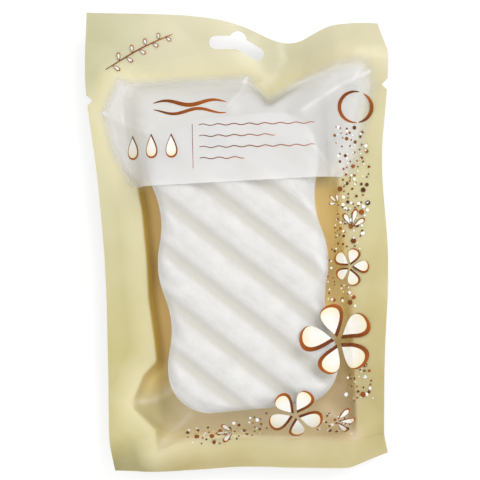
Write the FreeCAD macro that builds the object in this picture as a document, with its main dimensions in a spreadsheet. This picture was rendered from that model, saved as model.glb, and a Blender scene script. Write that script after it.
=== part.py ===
import FreeCAD, Part
import math
import os

# A wave-cut konjac sponge sealed in a flat film pouch, which lies on its back.
# +X runs across the pouch, +Y towards the hang hole and +Z up through the clear front.
# The origin is on the table, under the middle of the pouch's outline.

# Driving dimensions in millimetres, and turns in degrees.
SIZES = {
    # Pouch, as it lies when filled: from the foot up, and from the sponge out to each side
    "bottom_seal_width": 12,
    "foot_room": 15,
    "head_room": 19,
    "header_height": 30,
    "side_slack": 0.5,
    "wall_run": 7,
    "bottom_lap": 5.5,
    "top_lap": 12.5,
    "side_seal_width": 10,
    "seal_height": 11,
    "seal_step": 2,
    # Layers
    "film_thickness": 0.15,
    "weld_thickness": 0.1,
    "coat_thickness": 0.1,
    "layer_gap": 0.12,
    # Tear line, hang hole and printed band
    "film_turn": 1.75,
    "tear_room": 8,
    "tear_gap": 0.3,
    "notch_depth": 2.5,
    "hole_drop": 15,
    "hole_arm": 10.2,
    "hole_slot": 6,
    "hole_bump": 7.8,
    "hole_bump_rise": 1.2,
    "hole_bend": 30,
    "band_height": 47.5,
    # Sponge
    "sponge_width": 78,
    "scallop_pitch": 48,
    "corner_round": 19,
    "sponge_thickness": 27,
    "sponge_turn": 4.3,
    "scallop_depth": 3.7,
    "edge_round": 10.5,
    "ridge_pitch": 17.2,
    "ridge_depth": 4.2,
    "ridge_trim": 0.3,
    "ridge_turn": 46.2,
    # Room around the sponge
    "sponge_clearance": 0.5,
    "end_slack": 6,
    # Patch of the back film that lies pressed flat on the table
    "patch_depth": 0.03,
    "patch_margin": 3.5,
    # Length by which every cutting tool passes what it cuts
    "overrun": 20,
}

# The films are smooth surfaces over a net of 13 rows, from the bottom edge to the top edge, by 11 columns,
# from the left edge to the right edge.
# How far the two films stand apart at each point of the net, as shares of their full rise over the sponge.
FLAT_SHARES = [0] * 11
FULL_SHARES = [0, 0, 0, 1, 1, 1, 1, 1, 0, 0, 0]
BULGE_SHARES = [
    FLAT_SHARES,
    FLAT_SHARES,
    FLAT_SHARES,
    [0, 0.04, 0.35, 0.95, 1, 1, 1, 0.95, 0.35, 0.04, 0],
    [0, 0, 0.06, 1, 1, 1, 1, 1, 0.06, 0, 0],
    FULL_SHARES,
    FULL_SHARES,
    [0, 0.04, 0.3, 0.95, 1, 1, 1, 0.95, 0.4, 0.08, 0],
    FLAT_SHARES,
    FLAT_SHARES,
    FLAT_SHARES,
    FLAT_SHARES,
    FLAT_SHARES,
]
# How far the seal plane waves up and down, as shares of its height above the table.
WAVE_SHARES = [
    [0.1, -0.06, 0.06, -0.06, 0.05, -0.06, 0.06, -0.05, 0.06, -0.25, -0.55],
    [0.1, -0.05, 0.05, -0.05, 0.04, -0.05, 0.05, -0.04, 0.05, -0.1, -0.35],
    [0.05, -0.03, 0.03, -0.03, 0.03, -0.03, 0.03, -0.03, 0.03, 0, -0.1],
    [-0.1, 0, 0, 0, 0, 0, 0, 0, 0, 0, 0.1],
    [0.15, 0, 0, 0, 0, 0, 0, 0, 0, 0, 0.2],
    [-0.1, 0, 0, 0, 0, 0, 0, 0, 0, 0, -0.1],
    [0.1, 0, 0, 0, 0, 0, 0, 0, 0, 0, 0.15],
    [0.05, 0, 0, 0, 0, 0, 0, 0, 0.1, 0.15, 0.1],
    [0, 0, 0, 0, 0.05, 0.1, -0.25, 0.2, 0.45, 0.45, 0.3],
    [0, 0, 0, 0, 0.1, 0.15, -0.4, 0.2, 0.5, 0.5, 0.3],
    [0.05, 0.05, 0.1, 0.1, 0.25, 0.2, -0.6, 0.1, 0.4, 0.4, 0.1],
    [0.15, 0.15, 0.2, 0.25, 0.4, 0.2, -0.75, -0.15, 0.1, 0.05, -0.35],
    [0.3, 0.3, 0.35, 0.4, 0.5, 0.2, -0.85, -0.45, -0.3, -0.45, -0.75],
]
# How far the folds of the header and the curled corner draw the film towards the foot, as shares of the
# header's height.
DRAW_SHARES = [
    [0, 0, 0, 0, 0, 0, 0, 0, 0, -0.05, -0.25],
    [0, 0, 0, 0, 0, 0, 0, 0, 0, 0, -0.08],
    [0, 0, 0, 0, 0, 0, 0, 0, 0, 0, -0.03],
    FLAT_SHARES,
    FLAT_SHARES,
    FLAT_SHARES,
    FLAT_SHARES,
    FLAT_SHARES,
    [0, 0, 0, 0, 0, 0.02, 0.13, 0, -0.1, -0.18, -0.22],
    [0, 0, 0, 0, 0.01, 0.04, 0.2, 0, -0.12, -0.2, -0.25],
    [0, 0, 0.02, 0.02, 0.04, 0.1, 0.4, 0.08, 0, -0.04, -0.05],
    [0, 0.01, 0.03, 0.04, 0.06, 0.16, 0.5, 0.2, 0.12, 0.09, 0.1],
    [0, 0.02, 0.04, 0.05, 0.08, 0.2, 0.58, 0.28, 0.23, 0.21, 0.22],
]
# How far up the header its two middle rows lie.
HEADER_ROW_SHARES = (0.4, 0.7)
# How much of the sponge's lean each row of the net follows.
LEAN_SHARES = [0, 0, 0.5, 1, 1, 1, 1, 1, 0.5, 0, 0, 0, 0]
# How far across the sponge the film's crown reaches from the middle, as a share of the sponge's width.
CROWN_SHARE = 0.3
# How much of each wave across the sponge is ridge, and the rest of it channel
RIDGE_SHARE = 0.6
FILM_DEGREE = 2
# The stretch of the net, in spans of its spline from the bottom edge, that the layers of the pouch and of the
# header cover. Both pass the tear line.
POUCH_SPANS = (0, 8)
HEADER_SPANS = (6.5, 11)
Z_AXIS = FreeCAD.Vector(0, 0, 1)


def make_sheet(doc):
    """Write the driving dimensions into a spreadsheet, one alias for each."""
    sheet = doc.addObject("Spreadsheet::Sheet", "Sizes")
    for row, (alias, value) in enumerate(SIZES.items(), start=1):
        sheet.set(f"A{row}", alias)
        sheet.set(f"B{row}", str(value))
        sheet.setAlias(f"B{row}", alias)
    doc.recompute()
    return sheet


doc = FreeCAD.newDocument("konjac_sponge_pouch")
sheet = make_sheet(doc)


def size(alias):
    """Read one driving dimension from the spreadsheet."""
    return float(sheet.get(alias))


# Places that follow from the driving dimensions
sponge_length = 2 * (size("scallop_pitch") + size("corner_round"))
sponge_side = size("sponge_width") / 2 + size("side_slack")
wall_foot = sponge_side + size("wall_run")
half_top = wall_foot + size("top_lap") + size("side_seal_width")
half_bottom = wall_foot + size("bottom_lap") + size("side_seal_width")
cavity_length = size("foot_room") + sponge_length + size("head_room")
pouch_length = size("bottom_seal_width") + cavity_length + size("header_height")
half_length = pouch_length / 2
bottom_line = size("bottom_seal_width") - half_length
sponge_middle = bottom_line + size("foot_room") + sponge_length / 2
seal_line = half_length - size("header_height")
tear_line = seal_line - size("tear_room")
band_line = seal_line - size("band_height")
sponge_base = size("patch_depth") + size("film_thickness") + size("sponge_clearance")
sponge_top = sponge_base + size("sponge_thickness")
front_seat = size("weld_thickness") / 2 + size("layer_gap")
back_seat = front_seat + size("film_thickness")
front_rise = sponge_top + size("sponge_clearance") - size("seal_height") - front_seat
back_drop = size("seal_height") - back_seat - size("patch_depth")


def half_width(y):
    """Half the pouch's width at a height along its length."""
    share = (y + half_length) / pouch_length
    return half_bottom * (1 - share) + half_top * share


def row_heights():
    """The heights along the pouch of the film net's rows."""
    step = size("seal_step")
    header = size("header_height")
    sponge_third = sponge_length / 3
    sponge_reach = sponge_length / 2 + size("end_slack")
    return [
        -half_length,
        bottom_line - step,
        bottom_line + step,
        sponge_middle - sponge_reach,
        sponge_middle - sponge_third,
        sponge_middle,
        sponge_middle + sponge_third,
        sponge_middle + sponge_reach,
        seal_line - step,
        seal_line + step,
        *[seal_line + header * share for share in HEADER_ROW_SHARES],
        half_length,
    ]


def column_places(row, y):
    """The places across the pouch of the film net's columns in one row."""
    outer = half_width(y)
    inner = outer - size("side_seal_width")
    crown = size("sponge_width") * CROWN_SHARE
    lean = LEAN_SHARES[row] * (sponge_middle - y) * math.tan(math.radians(size("sponge_turn")))
    right = [crown, sponge_side, wall_foot]
    middle = [lean + place for place in (*[-place for place in reversed(right)], 0, *right)]
    return [-outer, -inner, *middle, inner, outer]


def film_net(offset, rise):
    """The poles of a film: the waving seal plane, plus an offset and a share of the rise."""
    net = []
    for row, y in enumerate(row_heights()):
        poles = []
        for column, x in enumerate(column_places(row, y)):
            drawn = y - DRAW_SHARES[row][column] * size("header_height")
            plane = size("seal_height") * (1 + WAVE_SHARES[row][column])
            z = plane + offset + BULGE_SHARES[row][column] * rise
            poles.append(FreeCAD.Vector(x, drawn, z))
        net.append(poles)
    return net


def clamped_knots(count):
    """Multiplicities and knots of a clamped spline with that many poles."""
    spans = count - FILM_DEGREE
    ends = [FILM_DEGREE + 1]
    return ends + [1] * (spans - 1) + ends, [float(knot) for knot in range(spans + 1)]


def film_web(name, offset, rise, thickness, spans):
    """A layer of film from side to side: a smooth face over its net, made as thick as a sheet cell says."""
    net = film_net(offset, rise)
    columns = [[row[column] for row in net] for column in range(len(net[0]))]
    across_counts, across_knots = clamped_knots(len(columns))
    along_counts, along_knots = clamped_knots(len(net))
    surface = Part.BSplineSurface()
    surface.buildFromPolesMultsKnots(
        columns, across_counts, along_counts, across_knots, along_knots,
        False, False, FILM_DEGREE, FILM_DEGREE,
    )
    surface.segment(across_knots[0], across_knots[-1], *spans)
    face = doc.addObject("Part::Feature", name + "_face")
    face.Shape = surface.toShape()
    return extrusion(name, face, f"Sizes.{thickness}")


def extrusion(name, face, length):
    """Raise a face into a solid, straight up."""
    solid = doc.addObject("Part::Extrusion", name)
    solid.Base = face
    solid.DirMode = "Custom"
    solid.Dir = Z_AXIS
    solid.Solid = True
    solid.setExpression("LengthFwd", length)
    return solid


def turned(x, y, angle, dx, dy):
    """A placement at a point, turned about the vertical, then shifted by dx, dy in the turned frame."""
    pivot = FreeCAD.Placement(FreeCAD.Vector(x, y, 0), FreeCAD.Rotation(Z_AXIS, angle))
    return pivot.multiply(FreeCAD.Placement(FreeCAD.Vector(dx, dy, -size("overrun")), FreeCAD.Rotation()))


# Sizes of the cutting tools, as expressions in the sheet's cells
TALL = "Sizes.sponge_thickness + 2 * Sizes.overrun"
HALF_ACROSS = (
    "Sizes.sponge_width / 2 + Sizes.side_slack + Sizes.wall_run + Sizes.top_lap + Sizes.side_seal_width"
    " + Sizes.overrun"
)
ACROSS = f"2 * ({HALF_ACROSS})"
SPONGE_LENGTH = "2 * (Sizes.scallop_pitch + Sizes.corner_round)"
ALONG = (
    f"Sizes.bottom_seal_width + Sizes.foot_room + {SPONGE_LENGTH} + Sizes.head_room + Sizes.header_height"
    " + 2 * Sizes.overrun"
)


def cutting_box(name, length, width, placement):
    """An upright box, tall enough to pass the whole pouch."""
    tool = doc.addObject("Part::Box", name)
    tool.setExpression("Length", length)
    tool.setExpression("Width", width)
    tool.setExpression("Height", TALL)
    tool.Placement = placement
    return tool


def cutting_cylinder(name, diameter, placement):
    """An upright cylinder, tall enough to pass the whole pouch."""
    tool = doc.addObject("Part::Cylinder", name)
    tool.setExpression("Radius", f"Sizes.{diameter} / 2")
    tool.setExpression("Height", TALL)
    tool.Placement = placement
    return tool


def zone_boxes():
    """The parts of the plan on each side of the tear line, and above the band's lower edge."""
    reach = half_top + size("overrun")
    whole = pouch_length + 2 * size("overrun")
    turn = size("film_turn")
    zones = {
        "pouch_zone": turned(0, tear_line, turn, -reach, -whole),
        "header_zone": turned(0, tear_line, turn, -reach, size("tear_gap")),
        "band_zone": turned(0, band_line, turn, -reach, 0),
        "bottom_zone": turned(0, bottom_line, 0, -reach, -whole),
        "side_zone": turned(0, bottom_line, 0, -reach, 0),
    }
    return {name: cutting_box(name, ACROSS, ALONG, placement) for name, placement in zones.items()}


def cavity_zone():
    """The plan inside the welds: it follows the net's own seal lines."""
    net = film_net(0, 0)
    first = 1
    last = len(net[0]) - 2
    low = [(net[1][column] + net[2][column]) / 2 for column in range(first, last + 1)]
    high = [(net[8][column] + net[9][column]) / 2 for column in range(first, last + 1)]
    left = [net[row][first] for row in range(3, 8)]
    right = [net[row][last] for row in range(3, 8)]
    corners = [*low, *right, *reversed(high), *reversed(left)]
    plan = [FreeCAD.Vector(point.x, point.y, -size("overrun")) for point in corners]
    face = doc.addObject("Part::Feature", "cavity_plan")
    face.Shape = Part.Face(Part.makePolygon([*plan, plan[0]]))
    return extrusion("cavity_zone", face, TALL)


def header_cutter():
    """The hang hole, bent by the header's fold, and the two tear notches, as one tool."""
    slot = size("hole_slot")
    arm = size("hole_arm")
    notch = size("notch_depth")
    hole_line = half_length - size("hole_drop")
    tools = [
        cutting_cylinder("hole_bump", "hole_bump", turned(0, hole_line, 0, 0, size("hole_bump_rise"))),
        cutting_cylinder("hole_middle", "hole_slot", turned(0, hole_line, 0, 0, 0)),
    ]
    for side, turn in (("left", 180), ("right", -size("hole_bend"))):
        arm_placement = turned(0, hole_line, turn, 0, -slot / 2)
        tools.append(cutting_box(f"hole_{side}_arm", "Sizes.hole_arm", "Sizes.hole_slot", arm_placement))
        end_placement = turned(0, hole_line, turn, arm, 0)
        tools.append(cutting_cylinder(f"hole_{side}_end", "hole_slot", end_placement))
    slope = math.tan(math.radians(size("film_turn")))
    for side, sign in (("left", -1), ("right", 1)):
        x = sign * half_width(tear_line)
        diagonal = notch / math.sqrt(2)
        placement = turned(x, tear_line + x * slope, 45, -diagonal, -diagonal)
        width = "sqrt(2) * Sizes.notch_depth"
        tools.append(cutting_box(f"{side}_notch", width, width, placement))
    cutter = doc.addObject("Part::MultiFuse", "header_cutter")
    cutter.Shapes = tools
    return cutter


def common(name, *shapes):
    """What several shapes share."""
    result = doc.addObject("Part::MultiCommon", name)
    result.Shapes = list(shapes)
    return result


def cut(name, base, tool):
    """A shape less a tool."""
    result = doc.addObject("Part::Cut", name)
    result.Base = base
    result.Tool = tool
    return result


def trimmed(name, layer, zone, tool):
    """A layer of film kept to one zone, less its hole and notches."""
    return cut(name, common(f"{name}_blank", layer, zone), tool)


def contact_patch():
    """The flat patch under the sponge where the back film touches the table."""
    patch = doc.addObject("Part::Box", "contact_patch")
    for side, length in (("Length", "Sizes.sponge_width"), ("Width", SPONGE_LENGTH)):
        patch.setExpression(side, f"{length} - 2 * (Sizes.edge_round + Sizes.patch_margin)")
    patch.setExpression("Height", "2 * Sizes.patch_depth")
    inset = size("edge_round") + size("patch_margin")
    corner = FreeCAD.Vector(inset - size("sponge_width") / 2, inset - sponge_length / 2, 0)
    turn = FreeCAD.Rotation(Z_AXIS, size("sponge_turn"))
    patch.Placement = FreeCAD.Placement(FreeCAD.Vector(0, sponge_middle, 0) + turn.multVec(corner), turn)
    return patch


def make_layers(part, spans):
    """The layers of one part of the film, from the back to the white print on the front."""
    coat_seat = front_seat + size("film_thickness") + size("layer_gap")
    return {
        "back": film_web(f"{part}_back_web", -back_seat, -back_drop, "film_thickness", spans),
        "weld": film_web(f"{part}_weld_web", -size("weld_thickness") / 2, 0, "weld_thickness", spans),
        "front": film_web(f"{part}_front_web", front_seat, front_rise, "film_thickness", spans),
        "coat": film_web(f"{part}_coat_web", coat_seat, front_rise, "coat_thickness", spans),
    }


def make_films():
    """The two webs, their print and their welds, divided at the tear line."""
    pouch = make_layers("pouch", POUCH_SPANS)
    header = make_layers("header", HEADER_SPANS)
    zones = zone_boxes()
    pouch_zone = zones["pouch_zone"]
    header_zone = zones["header_zone"]
    cavity = cavity_zone()
    tool = header_cutter()
    reach = half_top + size("overrun")
    whole = pouch_length + 2 * size("overrun")
    pressed_web = doc.addObject("Part::Fuse", "pressed_web")
    pressed_web.Base = pouch["back"]
    pressed_web.Tool = contact_patch()
    pouch_weld = cut("pouch_weld", pouch["weld"], cavity)
    header_weld = cut("header_weld", header["weld"], cavity)
    side_welds = common("side_welds", pouch_weld, pouch_zone, zones["side_zone"])
    notched_welds = cut("notched_side_welds", side_welds, tool)
    left_half = cutting_box("left_half", HALF_ACROSS, ALONG, turned(0, 0, 0, -reach, -whole / 2))
    return {
        "back_film": trimmed("back_film", pressed_web, pouch_zone, tool),
        "front_film": trimmed("front_film", pouch["front"], pouch_zone, tool),
        "bottom_seal": common("bottom_seal", pouch_weld, zones["bottom_zone"]),
        "left_side_seal": common("left_side_seal", notched_welds, left_half),
        "right_side_seal": cut("right_side_seal", notched_welds, left_half),
        "printed_band": common("printed_band", pouch["coat"], cavity, zones["band_zone"], pouch_zone),
        "header_back_film": trimmed("header_back_film", header["back"], header_zone, tool),
        "header_front_film": trimmed("header_front_film", header["front"], header_zone, tool),
        "header_seal": trimmed("header_seal", header_weld, header_zone, tool),
        "header_band": common("header_band", header["coat"], cavity, header_zone),
    }


def origin_plane(body, role):
    """One of a body's own origin planes."""
    return next(plane for plane in body.Origin.OriginFeatures if plane.Role == role)


def sponge_outline(sketch):
    """The sponge's outline: straight ends, round corners and sides that wave in and out in arcs."""
    half_across = size("sponge_width") / 2
    half_along = sponge_length / 2
    bump = size("scallop_pitch")
    depth = size("scallop_depth")
    corner = size("corner_round")
    turn_share = math.sqrt(1 / 2)
    wave_radius = ((bump / 4) ** 2 + (depth / 2) ** 2) / depth
    bump_middle = wave_radius * (1 - math.cos(math.asin(bump / 8 / wave_radius)))

    def side_point(drawn_in, along):
        return FreeCAD.Vector(half_across - drawn_in, along, 0)

    corner_middle = side_point(corner * (1 - turn_share), bump + corner * turn_share)
    rise = [
        (side_point(depth / 2, bump / 4), side_point(depth, bump / 2), side_point(depth / 2, bump * 3 / 4)),
        (side_point(depth / 2, bump * 3 / 4), side_point(bump_middle, bump * 7 / 8), side_point(0, bump)),
        (side_point(0, bump), corner_middle, side_point(corner, half_along)),
    ]
    for across in (1, -1):
        ends = [FreeCAD.Vector(across * side_point(depth / 2, 0).x, along * bump / 4, 0) for along in (-1, 1)]
        sketch.addGeometry(Part.Arc(ends[0], FreeCAD.Vector(across * half_across, 0, 0), ends[1]))
        for along in (1, -1):
            for points in rise:
                sketch.addGeometry(Part.Arc(*[FreeCAD.Vector(across * p.x, along * p.y, 0) for p in points]))
    for along in (half_along, -half_along):
        left = FreeCAD.Vector(corner - half_across, along, 0)
        sketch.addGeometry(Part.LineSegment(left, FreeCAD.Vector(-left.x, along, 0)))


def ridge_profile(sketch):
    """Everything above the sponge's waves, as alternate arcs closed by three straight sides.

    A channel runs through the sponge's middle.
    """
    pitch = size("ridge_pitch")
    depth = size("ridge_depth")
    level = size("sponge_thickness") - size("ridge_trim") - depth * RIDGE_SHARE
    roof = size("sponge_thickness") + size("overrun")
    waves = math.ceil((sponge_length + size("sponge_width")) / 2 / pitch)
    left = FreeCAD.Vector(pitch * (RIDGE_SHARE - 1) / 2 - waves * pitch, level, 0)
    start = left
    for _ in range(2 * waves):
        for share in (RIDGE_SHARE - 1, RIDGE_SHARE):
            end = start + FreeCAD.Vector(pitch * abs(share), 0, 0)
            top = (start + end) / 2 + FreeCAD.Vector(0, depth * share, 0)
            sketch.addGeometry(Part.Arc(start, top, end))
            start = end
    corners = [start, FreeCAD.Vector(start.x, roof, 0), FreeCAD.Vector(left.x, roof, 0), left]
    for low, high in zip(corners, corners[1:]):
        sketch.addGeometry(Part.LineSegment(low, high))


def make_sponge():
    """The sponge: a scalloped block with rounded edges and diagonal waves across its top."""
    body = doc.addObject("PartDesign::Body", "sponge")
    outline = body.newObject("Sketcher::SketchObject", "sponge_outline")
    outline.AttachmentSupport = (origin_plane(body, "XY_Plane"), "")
    outline.MapMode = "FlatFace"
    sponge_outline(outline)
    block = body.newObject("PartDesign::Pad", "sponge_block")
    block.Profile = outline
    block.setExpression("Length", "Sizes.sponge_thickness")
    doc.recompute()
    rims = []
    for number, edge in enumerate(block.Shape.Edges, start=1):
        if edge.BoundBox.ZLength < size("sponge_clearance"):
            rims.append(f"Edge{number}")
    rounded = body.newObject("PartDesign::Fillet", "sponge_rounded")
    rounded.Base = (block, rims)
    rounded.setExpression("Radius", "Sizes.edge_round")
    doc.recompute()
    waves = body.newObject("Sketcher::SketchObject", "sponge_waves")
    waves.AttachmentSupport = (origin_plane(body, "XZ_Plane"), "")
    waves.MapMode = "FlatFace"
    turn = FreeCAD.Rotation(FreeCAD.Vector(0, 1, 0), size("ridge_turn"))
    waves.AttachmentOffset = FreeCAD.Placement(FreeCAD.Vector(0, 0, 0), turn)
    ridge_profile(waves)
    channels = body.newObject("PartDesign::Pocket", "sponge_channels")
    channels.Profile = waves
    channels.Type = "ThroughAll"
    channels.Midplane = True
    body.Tip = channels
    body.Placement = FreeCAD.Placement(
        FreeCAD.Vector(0, sponge_middle, sponge_base), FreeCAD.Rotation(Z_AXIS, size("sponge_turn"))
    )
    doc.recompute()
    if channels.Shape.Volume >= rounded.Shape.Volume:
        raise RuntimeError("the waves cut nothing from the sponge")
    return body


def write_parts(nodes):
    """Check every object and write each node's solid to its own file."""
    for item in doc.Objects:
        if "Invalid" in item.State or "Error" in item.State:
            raise RuntimeError(f"{item.Label}: {item.State}")
    for name, node in nodes.items():
        node.Label = name
        if node.Shape.isNull() or not node.Shape.isValid() or not node.Shape.Solids:
            raise RuntimeError(f"{name}: no valid solid")
    os.makedirs("parts", exist_ok=True)
    for name, node in nodes.items():
        solids = node.Shape.Solids
        shape = solids[0] if len(solids) == 1 else Part.makeCompound(solids)
        shape.exportStep(f"parts/{name}.step")
        box = shape.BoundBox
        print(f"{name}: {len(solids)} solid, {shape.Volume:.1f} mm3, z {box.ZMin:.2f} to {box.ZMax:.2f}")


nodes = make_films()
nodes["sponge"] = make_sponge()
doc.recompute()
write_parts(nodes)
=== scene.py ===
import math
import random

import bmesh
import bpy
import numpy as np
from mathutils import Matrix, Vector
from mathutils.bvhtree import BVHTree


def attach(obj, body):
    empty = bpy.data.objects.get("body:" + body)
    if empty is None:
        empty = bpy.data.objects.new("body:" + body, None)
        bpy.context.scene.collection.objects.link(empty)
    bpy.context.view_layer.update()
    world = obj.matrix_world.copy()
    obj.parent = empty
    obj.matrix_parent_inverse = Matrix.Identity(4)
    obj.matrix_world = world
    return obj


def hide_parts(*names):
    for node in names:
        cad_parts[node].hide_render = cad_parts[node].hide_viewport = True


# A wave-cut konjac sponge sealed in a flat film pouch, which lies on its back.
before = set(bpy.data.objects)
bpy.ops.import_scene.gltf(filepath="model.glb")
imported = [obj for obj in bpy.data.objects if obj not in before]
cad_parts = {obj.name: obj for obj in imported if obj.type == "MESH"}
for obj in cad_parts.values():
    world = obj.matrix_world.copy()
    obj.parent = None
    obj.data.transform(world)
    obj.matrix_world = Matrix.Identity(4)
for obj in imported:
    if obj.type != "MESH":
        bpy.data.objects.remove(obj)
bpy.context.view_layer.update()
scene = bpy.context.scene
MM = 0.001

# Sizes of the pouch and the sponge, repeated from the part's source, in millimetres and degrees
HALF_LENGTH = 105
HALF_TOP = 69
HALF_BOTTOM = 62
SIDE_SEAL = 10
SEAL_LINE = 75
BOTTOM_LINE = -93
SEAL_STEP = 2
SEAL_HEIGHT = 11
HEADER_HEIGHT = 30
SPONGE_MIDDLE = -11
SPONGE_LENGTH = 134
SPONGE_REACH = 73
SPONGE_WIDTH = 78
SPONGE_SIDE = 39.5
WALL_FOOT = 46.5
SPONGE_TURN = 4.3
RIDGE_TURN = 46.2
RIDGE_PITCH = 17.2
CROWN_SHARE = 0.3
HEADER_ROW_SHARES = (0.4, 0.7)
FILM_SEAT = 0.17
FRONT_RISE = 17.01
BACK_DROP = 10.65
FILM_THICKNESS = 0.15
FILM_TURN = 1.75
TEAR_LINE = 67
NOTCH_DEPTH = 2.5
HOLE_LINE = 90
HOLE_ARM = 10.2
HOLE_SLOT = 6
HOLE_BEND = 30
HOLE_BUMP = 7.8
HOLE_BUMP_RISE = 1.2

# The scene's own gap along the tear line
TEAR_GAP = 0.01
# The white band: its lower edge, its reach past the line where the films part, and its height over the film
BAND_LINE = 26
BAND_REACH = 6.5
BAND_LIFT = 0.15

# The film net of the part's source: shares of the bulge, of the seal plane's waves, of the draw of the folds
# and of the sponge's lean
COLUMNS = 11
FLAT = [0] * COLUMNS
FULL = [0, 0, 0, 1, 1, 1, 1, 1, 0, 0, 0]
BULGE_SHARES = [
    FLAT,
    FLAT,
    FLAT,
    [0, 0.04, 0.35, 0.95, 1, 1, 1, 0.95, 0.35, 0.04, 0],
    [0, 0, 0.06, 1, 1, 1, 1, 1, 0.06, 0, 0],
    FULL,
    FULL,
    [0, 0.04, 0.3, 0.95, 1, 1, 1, 0.95, 0.4, 0.08, 0],
    FLAT,
    FLAT,
    FLAT,
    FLAT,
    FLAT,
]
WAVE_SHARES = [
    [0.1, -0.06, 0.06, -0.06, 0.05, -0.06, 0.06, -0.05, 0.06, -0.25, -0.55],
    [0.1, -0.05, 0.05, -0.05, 0.04, -0.05, 0.05, -0.04, 0.05, -0.1, -0.35],
    [0.05, -0.03, 0.03, -0.03, 0.03, -0.03, 0.03, -0.03, 0.03, 0, -0.1],
    [-0.1, 0, 0, 0, 0, 0, 0, 0, 0, 0, 0.1],
    [0.15, 0, 0, 0, 0, 0, 0, 0, 0, 0, 0.2],
    [-0.1, 0, 0, 0, 0, 0, 0, 0, 0, 0, -0.1],
    [0.1, 0, 0, 0, 0, 0, 0, 0, 0, 0, 0.15],
    [0.05, 0, 0, 0, 0, 0, 0, 0, 0.1, 0.15, 0.1],
    [0, 0, 0, 0, 0.05, 0.1, -0.25, 0.2, 0.45, 0.45, 0.3],
    [0, 0, 0, 0, 0.1, 0.15, -0.4, 0.2, 0.5, 0.5, 0.3],
    [0.05, 0.05, 0.1, 0.1, 0.25, 0.2, -0.6, 0.1, 0.4, 0.4, 0.1],
    [0.15, 0.15, 0.2, 0.25, 0.4, 0.2, -0.75, -0.15, 0.1, 0.05, -0.35],
    [0.3, 0.3, 0.35, 0.4, 0.5, 0.2, -0.85, -0.45, -0.3, -0.45, -0.75],
]
DRAW_SHARES = [
    [0, 0, 0, 0, 0, 0, 0, 0, 0, -0.05, -0.25],
    [0, 0, 0, 0, 0, 0, 0, 0, 0, 0, -0.08],
    [0, 0, 0, 0, 0, 0, 0, 0, 0, 0, -0.03],
    FLAT,
    FLAT,
    FLAT,
    FLAT,
    FLAT,
    [0, 0, 0, 0, 0, 0.02, 0.13, 0, -0.1, -0.18, -0.22],
    [0, 0, 0, 0, 0.01, 0.04, 0.2, 0, -0.12, -0.2, -0.25],
    [0, 0, 0.02, 0.02, 0.04, 0.1, 0.4, 0.08, 0, -0.04, -0.05],
    [0, 0.01, 0.03, 0.04, 0.06, 0.16, 0.5, 0.2, 0.12, 0.09, 0.1],
    [0, 0.02, 0.04, 0.05, 0.08, 0.2, 0.58, 0.28, 0.23, 0.21, 0.22],
]
LEAN_SHARES = [0, 0, 0.5, 1, 1, 1, 1, 1, 0.5, 0, 0, 0, 0]
# How far the limp side edges wander to the right of straight, at each row
LEFT_SWAY = [1.2, -0.4, -0.8, -0.8, 0.7, 1.9, 0.4, -2.4, -2.7, -2.6, -2, -1, 0]
RIGHT_SWAY = [3, 1, 0.6, 0.4, 0, 2.4, -2.8, -0.2, 0.6, 0.4, -1.2, -2.6, -4]
# How far the foot wanders upwards, at each column
FOOT_SWAY = [0, -0.6, -1, -1.4, -0.6, 0.5, -0.8, -1.4, -1.4, -1.4, -3]
# Where the rows of the net lie along the pouch
ROWS = [
    -HALF_LENGTH,
    BOTTOM_LINE - SEAL_STEP,
    BOTTOM_LINE + SEAL_STEP,
    SPONGE_MIDDLE - SPONGE_REACH,
    SPONGE_MIDDLE - SPONGE_LENGTH / 3,
    SPONGE_MIDDLE,
    SPONGE_MIDDLE + SPONGE_LENGTH / 3,
    SPONGE_MIDDLE + SPONGE_REACH,
    SEAL_LINE - SEAL_STEP,
    SEAL_LINE + SEAL_STEP,
    *[SEAL_LINE + HEADER_HEIGHT * share for share in HEADER_ROW_SHARES],
    HALF_LENGTH,
]

# Where the two films part, seen from above: outside this line they lie together
OPEN_LINE = [
    (-62.5, 59), (-60.5, 51.5), (-58.5, 42), (-54, 33), (-48, 25), (-46, 12), (-44.5, -9), (-44, -27),
    (-42, -43.5), (-41, -55.5), (-47, -61.5), (-52.5, -74), (-51.5, -77.5), (-42.5, -87), (-41, -97),
    (-33, -93.5), (-21.5, -91.5), (-3, -91), (24.5, -93), (50.5, -93), (50.5, -66), (50, -50),
    (49.5, -28), (47.5, -12), (46.5, 0), (45, 24), (46, 28.5), (48.5, 33), (51.5, 40), (55.5, 58),
    (58.5, 69), (56, 77.5), (46.5, 77), (28, 71.5), (13, 62), (3.5, 73.5), (-48, 72), (-55.5, 74),
    (-58.5, 67.5),
]
# Folds standing up in the front film: their lines, their height and how wide they spread to each side
FOLDS = [
    ([(-62.5, 59), (-52.5, 53.5), (-42.5, 49)], 1.6, 5),
    ([(3.5, 73.5), (0, 66), (-5, 60)], 1.5, 5),
    ([(59.5, 75), (45, 68), (28, 57.5)], 1.8, 7),
    ([(33, 41), (38, 35), (43.5, 28)], 1.3, 5),
    ([(-52.5, -74), (-42.5, -73), (-33.5, -67)], 1.2, 4.5),
    ([(-41, -97), (-31.5, -85), (-24.5, -78)], 1.4, 4.5),
    ([(50.5, -93), (44.5, -85), (37.5, -79)], 1.4, 5),
]
# Shallow creases where the films lie together: turn of their run, distance between them and depth
CREASES = [(12, 34, 0.7), (67, 27, 0.5), (118, 21, 0.4), (158, 15, 0.2)]
# How far a crease wanders, as a share of that distance, and over what run
CREASE_WANDER_SHARE = 0.2
CREASE_RUN = 13
# Depths inside the open line over which the films come apart, and over which the folds reach their height
PARTING = (-0.5, 3.5)
FOLD_START = (0, 4)
# How steeply and how high the loose front film stands up inside the open line
TENT_SLOPE = 0.42
TENT_HEIGHT = 3

# Steps of a web across and along, steps of a full circle, and the turn from which an edge is sharp
WEB_STEPS = (138, 206)
ROUND_STEPS = 32
SHARP_TURN = 50
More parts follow.
